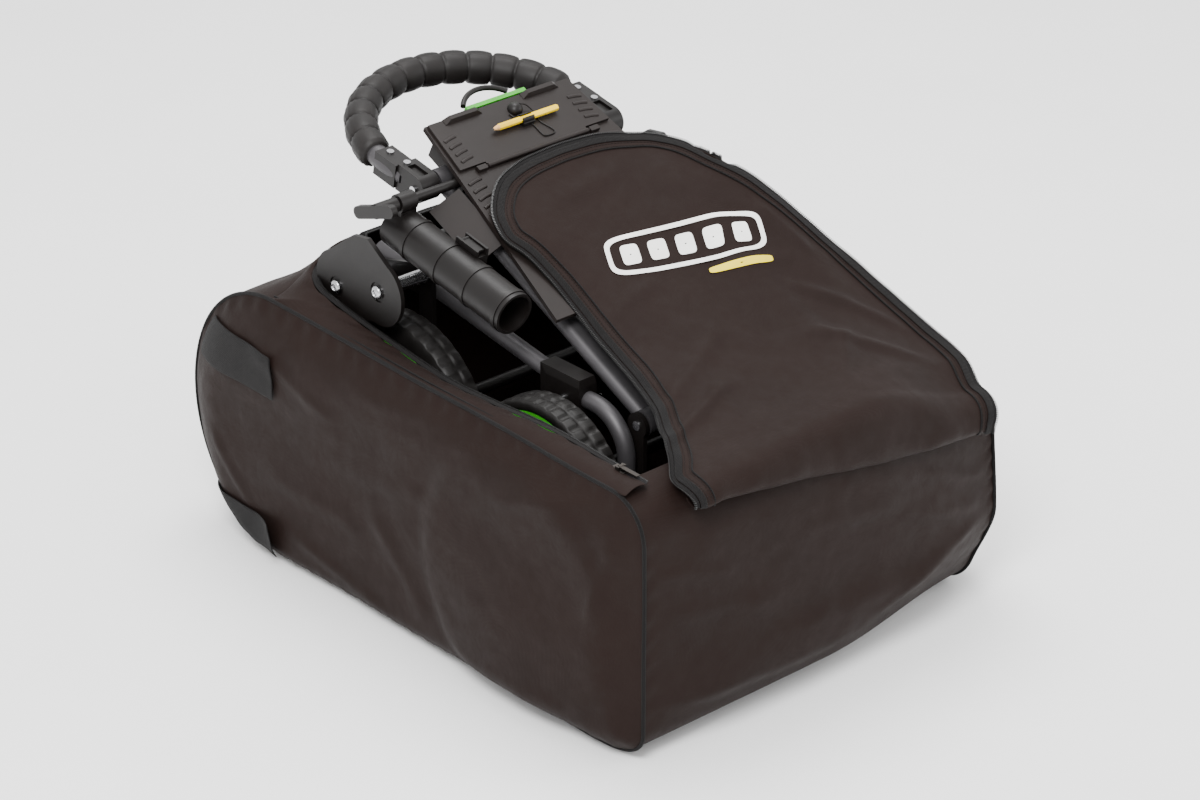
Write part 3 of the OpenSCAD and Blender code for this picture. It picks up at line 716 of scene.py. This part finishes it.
def strap_path(z, end):
    """Plan of a strap at height z: left side, round the back, right side."""
    back = BACK[0] + BACK_R[0] * math.sqrt(max(0.0, 1 - ((z - BACK[1]) / BACK_R[1]) ** 2))
    y = np.linspace(end, back - 26, 26)
    side = WIDE + side_bulge(y, np.full_like(y, z)) + 2.6
    left = np.stack([-side, y], 1)
    turn = bezier(left[-1], (-WIDE - 2, back + 2), (-WIDE + 34, back + 7), 12)[1:]
    x = np.linspace(-WIDE + 34, 0, 22)[1:]
    rear = np.stack([x, back + 7 + 4.5 * (1 - (np.abs(x) / WIDE) ** 3)], 1)
    half = np.vstack([left, turn, rear])
    return np.vstack([half, (half * [-1, 1])[::-1][1:]])


def make_strap(name, low, high, node, peel):
    """A wide strap between two heights, its left end peeled off by so many millimetres."""
    n, m, tip, end = 190, 7, 14, 645    # points along and across, in the peeled end, and its y
    rows = []
    for z in np.linspace(low, high, m):
        line = even(strap_path(z, end), n)
        rows.append(np.column_stack([line, np.full(n, z)]))
    grid = np.stack(rows, 1)
    ends = np.linspace(1, 0, tip) ** 2
    grid[:tip, :, 0] -= peel * ends[:, None] * (0.4 + 0.6 * np.linspace(0, 1, m)[None])
    grid[:tip, :, 1] += 0.35 * peel * ends[:, None] ** 2
    grid = settle(grid)
    grid[..., 2] = np.maximum(grid[..., 2], 3)
    strap = cloth_object(name, grid[:, ::-1], STRAP, "cover", WEB_THICK, slot="binding",
                         replaces=[node], offset=1)


# ---- the flap

FLAP_SECTION = [(-10, 346), (14, 354), (45, 358), (75, 361), (150, 379), (215, 401), (280, 427),
                (400, 481), (503, 531), (540, 549)]     # its height over y
FLAP_LEFT = [(-229, 20), (-208, 46), (-181, 90), (-153, 140), (-135, 196), (-125, 262), (-121, 330),
             (-127, 380), (-140, 412)]
FLAP_FAR = [(-140, 412), (-131, 440), (-110, 464), (-82, 483), (-45, 492), (4, 496), (66, 493),
            (120, 474), (160, 444), (186, 400)]
FLAP_RIGHT = [(272, 20), (289, 60), (289, 109), (278, 176), (262, 240), (244, 290), (218, 350),
              (186, 400)]
RIGHT_FALL = [(20, 62), (60, 46), (109, 40), (176, 26), (240, 14), (350, 4), (404, 0)]
FOLD_LINE = [(-231, 335), (-218, 326), (-190, 320), (-130, 311), (-67, 301), (20, 283), (102, 270),
             (180, 261), (232, 254), (252, 246)]        # lowest line of the front fold, x and z
FLAP_FOLDS = [  # start, end, width, height, in x and y
    ((-225, 60), (-40, 120), 9, 4.5), ((-200, 100), (20, 200), 12, 3.5),
    ((250, 60), (90, 150), 11, 5.0), ((262, 120), (130, 230), 10, 4.5),
    ((60, 40), (180, 150), 10, 3.5), ((-100, 30), (-60, 180), 12, 3.0),
    ((-120, 270), (10, 290), 10, 2.2), ((190, 250), (70, 270), 11, 2.6),
    ((-60, 430), (90, 446), 12, 2.0), ((214, 240), (190, 330), 9, 3.0),
]


def section(y):
    """Height of the flap's middle at y."""
    p = spline(FLAP_SECTION, 160)
    return np.interp(y, p[:, 0], p[:, 1])


def flap_top(n, m):
    """The flap from its hinge to its far edge: grid of points, left to right and front to back."""
    tube_lift, wheel_lift, tray_lift = 4.5, 7, 22       # what holds it up from below
    low = even([(-229, 20), (-120, 16), (0, 16), (120, 16), (272, 20)], n)
    grid = coons(low, spline(FLAP_FAR, n), spline(FLAP_LEFT, m), spline(FLAP_RIGHT, m))
    x, y = grid[..., 0], grid[..., 1]
    z = section(y)
    a = np.linspace(0, 1, n)[:, None]
    fall = np.interp(y, *np.array(RIGHT_FALL).T)
    z = z - fall * smooth(0.52, 1.0, a) ** 1.3
    sag = smooth(0.22, 0.0, a) * bump(y, 270, 110) * 22
    z = z - sag
    tubes = bump(x, -118, 20) + bump(x, 118, 24)
    rests = tube_lift * tubes * smooth(70, 150, y) * smooth(480, 380, y)
    wheel = wheel_lift * bump(x, 205, 34) * bump(y, 250, 90)
    hump = tray_lift * bump(x, 190, 105) * bump(y, 385, 105)
    z = z + rests + wheel + hump
    ridges = sum(h * crease(x, y, s, e, w) for s, e, w, h in FLAP_FOLDS)
    flat = np.stack([x, y, x * 0], -1)
    crumple = 2.4 * rough(flat, 110, 7.7) + 1.1 * rough(flat, 34, 2.9)
    z = z + ridges + crumple * smooth(0, 0.05, np.linspace(0, 1, m))[None]
    return np.stack([x, y, z], -1)


def flap_front(top, n, m):
    """The slack roll at the front: the fabric hangs from the top and tucks under in a fold."""
    line = spline(FOLD_LINE, n)
    rows = []
    start = top[:, 0]
    for i in range(n):
        x, z = line[i]
        xt, zt = start[i, 0], start[i, 2]
        drop = max(2.0, zt - z)
        thin = float(np.clip(drop / 40, 0.25, 1))
        path = [(x, 6 * thin - 4, z + 15 * thin), (x, -7, z + 3 * thin), (x, -17, z - 1),
                (x, -26, z + 5 * thin), (x, -28, z + 0.28 * drop),
                (0.6 * x + 0.4 * xt, -24, z + 0.55 * drop), (0.35 * x + 0.65 * xt, -15, z + 0.8 * drop),
                (0.1 * x + 0.9 * xt, 1, z + 0.965 * drop), tuple(start[i])]
        rows.append(spline(path, m))
    grid = np.array(rows)
    flat = grid * [1, 0, 1]
    fade = np.sin(np.linspace(0, math.pi, m))[None]
    grid[..., 1] -= (4.5 * rough(flat, 70, 3.1) + 1.6 * rough(flat, 26, 6.2)) * fade
    return grid


def curl_tip(grid):
    """The near left corner of the flap curls down and under."""
    p = grid.copy()
    near = smooth(-196, -250, p[..., 0]) * smooth(90, 10, p[..., 1])
    p[..., 2] -= 15 * near
    p[..., 0] -= 4 * near
    return p


def flap_blend(obj):
    """Bakes the piece's placement into its mesh."""
    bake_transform(obj)


def border(grid):
    """The flap's free edge, from near left round to near right, and the ways inward and up."""
    n = 520
    edge = np.vstack([grid[0, :-1], grid[:-1, -1], grid[-1, ::-1]])
    spine = grid[len(grid) // 2]
    level = np.minimum(np.arange(len(spine)), int(0.72 * len(spine)))
    far = np.tile(spine[level[-1]], (len(grid) - 1, 1))
    toward = unit(np.vstack([spine[level][:-1], far, spine[level][::-1]]) - edge)
    both = even(np.hstack([edge, toward]), n)
    edge, toward = relax(both[:, :3], 6), relax(both[:, 3:], 10)
    ahead = unit(np.gradient(edge, axis=0))
    up = unit(relax(unit(np.cross(toward, ahead)), 60))
    inward = unit(relax(np.cross(ahead, up), 8))
    return edge, inward, up


def relax(line, times):
    """The line with its points averaged with their neighbours, ends kept."""
    for _ in range(times):
        line = np.vstack([line[:1], (line[:-2] + line[1:-1] + line[2:]) / 3, line[-1:]])
    return line


def snap(grid, points, lift):
    """Moves points onto the surface of a grid, lifted off it by so many millimetres."""
    spots = grid[1:-1, 1:-1].reshape(-1, 3)
    along, across = grid[2:, 1:-1] - grid[:-2, 1:-1], grid[1:-1, 2:] - grid[1:-1, :-2]
    normals = unit(np.cross(along, across)).reshape(-1, 3)
    out = np.array(points, float)
    nearest = 9
    for at in np.ndindex(*out.shape[:-1]):
        gap = ((spots - out[at]) ** 2).sum(1)
        near = np.argpartition(gap, nearest)[:nearest]
        weight = 1 / (gap[near] + 4)
        weight /= weight.sum()
        normal = unit(weight @ normals[near])
        out[at] += normal * (lift - (out[at] - weight @ spots[near]) @ normal)
    return out


def on_flap(grid, middle, shape, lift):
    """Lays a flat drawing, in millimetres right and far of a point in plan, on the flap."""
    plan = np.asarray(shape, float) + middle
    points = np.concatenate([plan, section(plan[..., 1:])], -1)
    return snap(grid, snap(grid, points, lift), lift)


def print_shape(name, grid, middle, outer, inner, material, lift):
    """A band of print between two closed outlines."""
    rings = 5
    t = np.linspace(0, 1, rings)[None, :, None]
    flat = np.asarray(outer)[:, None] * (1 - t) + np.asarray(inner)[:, None] * t
    points = on_flap(grid, middle, flat, lift)
    flap_blend(cloth_object(name, points, material, None, PRINT_THICK, offset=1, closed=True,
                            slot="cover_nylon"))


def rounded(centre, half):
    """A leaning rectangle with round corners, as a closed outline."""
    lean, n = 0.3, 96
    a = np.linspace(0, 2 * math.pi, n, endpoint=False)
    x, y = (np.sign(v) * np.abs(v) ** 0.4 for v in (np.cos(a), np.sin(a)))
    return np.stack([centre[0] + half[0] * x + lean * half[1] * y, centre[1] + half[1] * y], 1)


def make_flap():
    """The flap with its half of the zip, its seam, its stitches and its emblem."""
    n, top_m, front_m, hidden = 150, 130, 34, 11    # hidden: columns tucked under the front fold
    top = flap_top(n, top_m)
    front = flap_front(top, n, front_m)
    grid = curl_tip(np.concatenate([front[:, :-1], top], 1))
    low, high = front_m - 8, front_m + 6
    for _ in range(3):
        before, after = grid[:, low - 1:high - 1], grid[:, low + 1:high + 1]
        grid[:, low:high] = (before + grid[:, low:high] * 2 + after) / 4
    cloth = cloth_object("flap_cloth", grid, NYLON, None, slot="cover_nylon",
                         replaces=["flap_panel", "front_fold"])
    flap_blend(cloth)
    make_flap_edge(grid, *border(grid[:, hidden:]))
    make_emblem(grid)


def make_flap_edge(grid, edge, inward, up):
    """Zip tape, its outer lip, teeth, seam and two rows of stitches along the flap's edge."""
    tape_wide, lip_wide, seam_inset, seam_r, stitch_insets = 10, 6, 21, 1.1, (12.5, 18)
    level = np.zeros_like(up)
    flap_blend(cloth_object("flap_zip_tape", snap(grid, ribbon(edge, inward, tape_wide, level, 4), 0.9), TAPE,
                            None, TAPE_THICK, offset=0, slot="binding", replaces=["flap_zip_tape"]))
    outside = snap(grid, ribbon(edge, -inward, lip_wide, level), -0.3)
    flap_blend(cloth_object("flap_zip_lip", outside, TAPE, None, TAPE_THICK, offset=0,
                            slot="binding"))
    flap_blend(tooth_row("flap_zip_teeth", outside[:, -1], up, TOOTH, TOOTH_PITCH, None, TEETH,
                         slot="zip_plastic"))
    line = snap(grid, relax(edge + inward * seam_inset, 12), 0.9)
    flap_blend(tube("flap_seam", even(relax(line, 2), 420), seam_r, TAPE, None, 8, slot="binding"))
    rows = []
    for inset in stitch_insets:
        line = snap(grid, relax(edge + inward * inset, 12), 0.25)
        rows.append(tooth_row("flap_stitch", line, up, STITCH, STITCH_PITCH, None, THREAD))
    join(rows, "flap_stitches")
    flap_blend(place(rows[0], None))


def spin(points, angle):
    """Flat points turned about the origin, by radians."""
    c, s = math.cos(angle), math.sin(angle)
    return points @ np.array([[c, s], [-s, c]])


def make_emblem(grid):
    """A plain printed mark: a leaning white frame with five bars, and a yellow dash."""
    middle, lift, turn, dot = (65, 318), 0.7, -0.19, (0.8, 0.5)
    marks = [("print_frame", (0, 0), (112, 31), (105, 24.5), PRINT_WHITE),
             ("print_dash", (52, -44), (46, 5), dot, PRINT_YELLOW)]
    marks += [(f"print_bar_{k}", (-78 + k * 39, 0), (13, 15), dot, PRINT_WHITE) for k in range(5)]
    for name, at, size, hole, material in marks:
        outer, inner = (spin(rounded(at, half), turn) for half in (size, hole))
        print_shape(name, grid, middle, outer, inner, material, lift)


# ---- wheels

TREAD_ACROSS = (17, 20, 21, 20.4, 18, 15.5, 12, 8, 4, 1.2)          # half of the tyre's section
TREAD_DEPTH = (0, 0, 0.30, 0.62, 0.86, 0.93, 0.965, 0.985, 0.995, 1)   # 0 at the rim, 1 at the tread


def make_tyre(which, centre, radius, rim):
    """Round-shouldered tyre with a chunky block tread."""
    steps, pitch, block_long, groove, middle_groove = 216, 6, 4, 2.4, 2.0
    across = [-x for x in TREAD_ACROSS] + list(TREAD_ACROSS[::-1])
    depth = TREAD_DEPTH + TREAD_DEPTH[::-1]
    rows = []
    for i in range(steps):
        a = 2 * math.pi * i / steps
        for x, d in zip(across, depth):
            shift = pitch // 2 if x > 0 else 0
            block = (i + shift) % pitch < block_long
            r = rim + 0.5 + (radius - 1.0 - rim) * d
            if d > 0.9 and abs(x) > 2 and not block:
                r -= groove
            if abs(x) < 1.5:
                r -= middle_groove
            if 0.84 < d < 0.9 and block:
                r += 0.8
            rows.append((centre[0] + x, centre[1] + r * math.cos(a), centre[2] + r * math.sin(a)))
    tyre = mesh_object(f"tyre_tread_{which}", rows, ring_faces(steps, len(across), closed=True), TYRE,
                       f"wheel_{which}", slot="tyre_rubber", replaces=[f"tyre_{which}"])
    modifier(tyre, "BEVEL", width=0.0004, segments=1, limit_method="ANGLE")


def make_wheels():
    for side in (-1, 1):
        for end in ("front", "rear"):
            which = f"{end}_{side_name(side)}"
            low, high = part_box(f"tyre_{which}")
            rim_low, rim_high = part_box(f"rim_{which}")
            middle = (np.array(low) + np.array(high)) / 2 / MM - [0, SEAM_Y, 0]
            radius, rim = ((b.z - a.z) / 2 / MM for a, b in ((low, high), (rim_low, rim_high)))
            make_tyre(which, middle, radius, rim)


# ---- handle and console

CONSOLE_AT = (570.6, 555.0)     # y and z of con()'s origin, on the console's top near its far end
CONSOLE_TILT = math.atan(0.5)
HANDLE_AT = (555.7, 508.8)      # y and z of the handle's pivots
HANDLE_TILT = math.radians(11)


def con(x, s, n):
    """A point on the console: across, towards its far end, and out of its top."""
    c, k = math.cos(CONSOLE_TILT), math.sin(CONSOLE_TILT)
    return (x, CONSOLE_AT[0] + s * c - n * k, CONSOLE_AT[1] + s * k + n * c)


def han(x, u, w):
    """A point on the handle: across, along it and out of its plane."""
    c, k = math.cos(HANDLE_TILT), math.sin(HANDLE_TILT)
    return (x, HANDLE_AT[0] + u * c - w * k, HANDLE_AT[1] + u * k + w * c)


def make_grip():
    """Soft grip in thirteen rounded segments round the handle's loop."""
    loop, bend, start, end = 156, 60, 10, 170      # radius, how far along, and its ends' angles
    segments, sides = 13, 36
    steps = segments * 16 + 1
    t = np.linspace(0, 1, steps)
    a = np.radians(start + (end - start) * t)
    path = np.array([han(loop * math.cos(k), bend + loop * math.sin(k), 0) for k in a])
    phase = (t * segments) % 1
    swell = np.clip(np.sin(phase * math.pi), 0, 1) ** 0.28
    ends = smooth(0, 0.012, t) * smooth(1, 0.988, t)
    radius = 17.2 + 4.3 * swell * ends
    around = np.linspace(0, 2 * math.pi, sides, endpoint=False)
    ribs = 0.55 * np.cos(around * 18)[None]
    rings = radius[:, None] + ribs * (swell * ends)[:, None]
    tube("grip_segments", path, rings, GRIP, "handle", sides, slot="grip_rubber",
         replaces=["handle_grip"])


def make_pencil():
    """Six-sided painted pencil with a sharpened wooden tip and a dark point."""
    s, n, tail, shoulder, tip = -19, 10.6, 62, -34, -45     # its axis, then its ends across
    turn = math.pi / 6

    def ring(x, r, sides=6):
        return [con(x, s + r * math.cos(turn + k * 2 * math.pi / sides),
                    n + r * math.sin(turn + k * 2 * math.pi / sides)) for k in range(sides)]

    def shell(name, rings, material, bevel):
        points = [p for r in rings for p in r]
        faces = ring_faces(len(rings), len(rings[0]))
        obj = mesh_object(name, points, faces, material, "pencil", slot="pencil_paint")
        modifier(obj, "BEVEL", width=bevel * MM, segments=2, limit_method="ANGLE")
        return obj

    def turned(*profile):
        return [ring(x, r, 18) for x, r in profile]

    body = shell("pencil_body", [ring(tail, 3.8), ring(tail - 0.7, 4.3), ring(shoulder, 4.3)], PENCIL, 0.35)
    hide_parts("pencil")
    cone = turned((shoulder, 3.65), (shoulder - 6, 2.4), (shoulder - 8.2, 1.2))
    shell("pencil_cone", cone, CEDAR, 0.1)
    point = turned((shoulder - 8.0, 1.22), (tip + 0.4, 0.35), (tip + 0.1, 0.15))
    shell("pencil_point", point, LEAD, 0.05)


RIB_SECTION = [(-1, 0), (-0.92, 0.55), (-0.6, 0.9), (0, 1), (0.6, 0.9), (0.92, 0.55), (1, 0), (0, -0.25)]


def rib_on_console(path, body):
    """A raised rounded rib that follows a path of (x, s, n) on the console."""
    n, width, height = 60, 5, 1.7
    line = spline([con(*p) for p in path], n)
    up = np.array(con(0, 0, 1)) - np.array(con(0, 0, 0))
    out = unit(np.cross(unit(np.gradient(line, axis=0)), up))
    taper = np.sqrt(np.clip(np.sin(np.linspace(0.06, 0.94, n) * math.pi) * 4, 0, 1))[:, None]
    grid = np.stack([line + out * a * width / 2 * taper + up * b * height * (taper if b > 0 else 1)
                     for a, b in RIB_SECTION], 1)
    return mesh_object("rib", grid.reshape(-1, 3), ring_faces(n, len(RIB_SECTION)), CONSOLE, body,
                       slot="console_plastic")


def make_wire_loop():
    """Bent wire bail that keeps the score card under the clip."""
    path = [(15, 4, 13), (25, -1, 11), (31, -10, 6.4), (30, -19, 5.4), (30, -28, 5.4), (37, -44, 5.6),
            (35, -50, 5.6), (21, -50, 5.6), (18, -44, 5.6), (17, -28, 5.4), (13, -19, 5.4),
            (2, -11, 5.6), (-2, -2, 6)]
    tube("wire_bail", spline([con(*p) for p in path], 120), 0.9, BLACK, "lid", 10, slot="steel")


def make_console_ribs():
    """Rows of short ribs along both edges of the tray and of the lid."""
    lid_top = 4.2
    for side in (-1, 1):
        ribs = []
        for k in range(7):
            s = -74 - k * 13
            half = 117 + (24 - s) / 324 * 41 - 6        # the tray widens away from the lid
            path = [(side * (half - 22), s, 0), (side * (half - 10), s - 1.5, 0), (side * half, s - 4, 0)]
            ribs.append(rib_on_console(path, "upper_frame"))
        join(ribs, "console_ribs_" + side_name(side))
        ribs = []
        for s in (-6, -18, -30, -42):
            path = [(side * 92, s, lid_top), (side * 103, s - 1.5, lid_top), (side * 112, s - 4, lid_top)]
            ribs.append(rib_on_console(path, "lid"))
        join(ribs, "lid_ribs_" + side_name(side))


DOME = [(1, 0.0), (1, 0.35), (0.94, 0.6), (0.8, 0.82), (0.62, 0.96), (0.5, 1.0)]     # radius, height
SOCKET = [(0.44, 0.97), (0.42, 0.25)]


def dome(centre, side, radius, height, body):
    """Domed bolt head with a hexagonal socket, facing left or right."""
    x0, y0, z0 = centre
    sides = 36
    points = []
    for r, h in DOME + SOCKET:
        for k in range(sides):
            a = 2 * math.pi * k / sides
            flat = max(math.cos((a % (math.pi / 3)) - math.pi / 6), 0.5) if (r, h) in SOCKET else 1
            points.append((x0 + side * h * height, y0 + r / flat * radius * math.cos(a),
                           z0 + r / flat * radius * math.sin(a)))
    faces = ring_faces(len(points) // sides, sides)
    if side > 0:
        faces = [f[::-1] for f in faces]
    return mesh_object("bolt", points, faces, STEEL, body, slot="steel")


def make_bolts():
    """Domed heads over the plain fastener heads on both side plates."""
    heads = [dome((side * 246, y, z), side, 8.6, 5.0, "cover")
             for side in (-1, 1) for y, z in ((531, 405), (611, 385))]
    join(heads, "side_plate_bolt_domes")


# ---- everything

make_cover()
make_strap("strap_web_upper", 240, 300, "strap_upper", 1.5)
make_strap("strap_web_lower", 16, 66, "strap_lower", 16)
make_flap()
make_wheels()
make_grip()
make_pencil()
make_console_ribs()
make_wire_loop()
make_bolts()


# ---- camera, light and floor

def make_camera():
    """The photograph's viewpoint, looking down at the cover's left front corner."""
    camera = bpy.data.objects.new("camera", bpy.data.cameras.new("camera"))
    bpy.context.scene.collection.objects.link(camera)
    seam = SEAM_Y * MM
    camera.location = (-2.8437, -2.7355 + seam, 2.3805)
    look_at = Vector((0.0394, 0.4441 + seam, 0.1936))
    camera.rotation_euler = (look_at - camera.location).to_track_quat("-Z", "Y").to_euler()
    camera.data.lens = 114
    camera.data.sensor_width = 36
    bpy.context.scene.camera = camera


def area_light(name, at, towards, size, power):
    light = bpy.data.objects.new(name, bpy.data.lights.new(name, "AREA"))
    light.data.shape = "DISK"
    light.data.size = size
    light.data.energy = power
    light.location = at
    light.rotation_euler = (Vector(towards) - Vector(at)).to_track_quat("-Z", "Y").to_euler()
    bpy.context.scene.collection.objects.link(light)


def make_stage():
    """A pale floor under a white sky, with three soft lamps."""
    sky = 1.5
    middle = (0, 0, 0.3)
    bpy.ops.mesh.primitive_plane_add(size=30, location=(0, 0, 0))
    floor = bpy.context.object
    floor.name = "floor"
    paint = Paint("floor_white", (0.93, 0.93, 0.93), 0.85)
    paint.vary(3, 1.01, 0.99)
    floor.data.materials.append(paint.done())
    world = bpy.data.worlds.new("studio")
    bpy.context.scene.world = world
    world.use_nodes = True
    world.node_tree.nodes["Background"].inputs[0].default_value = (1, 1, 1, 1)
    world.node_tree.nodes["Background"].inputs[1].default_value = sky
    area_light("key", (-2.2, -1.6, 3.4), middle, 1.6, 190)
    area_light("top", (0.6, 0.8, 3.6), middle, 2.2, 120)
    area_light("side", (2.6, -2.2, 1.6), middle, 1.6, 30)


make_camera()
make_stage()
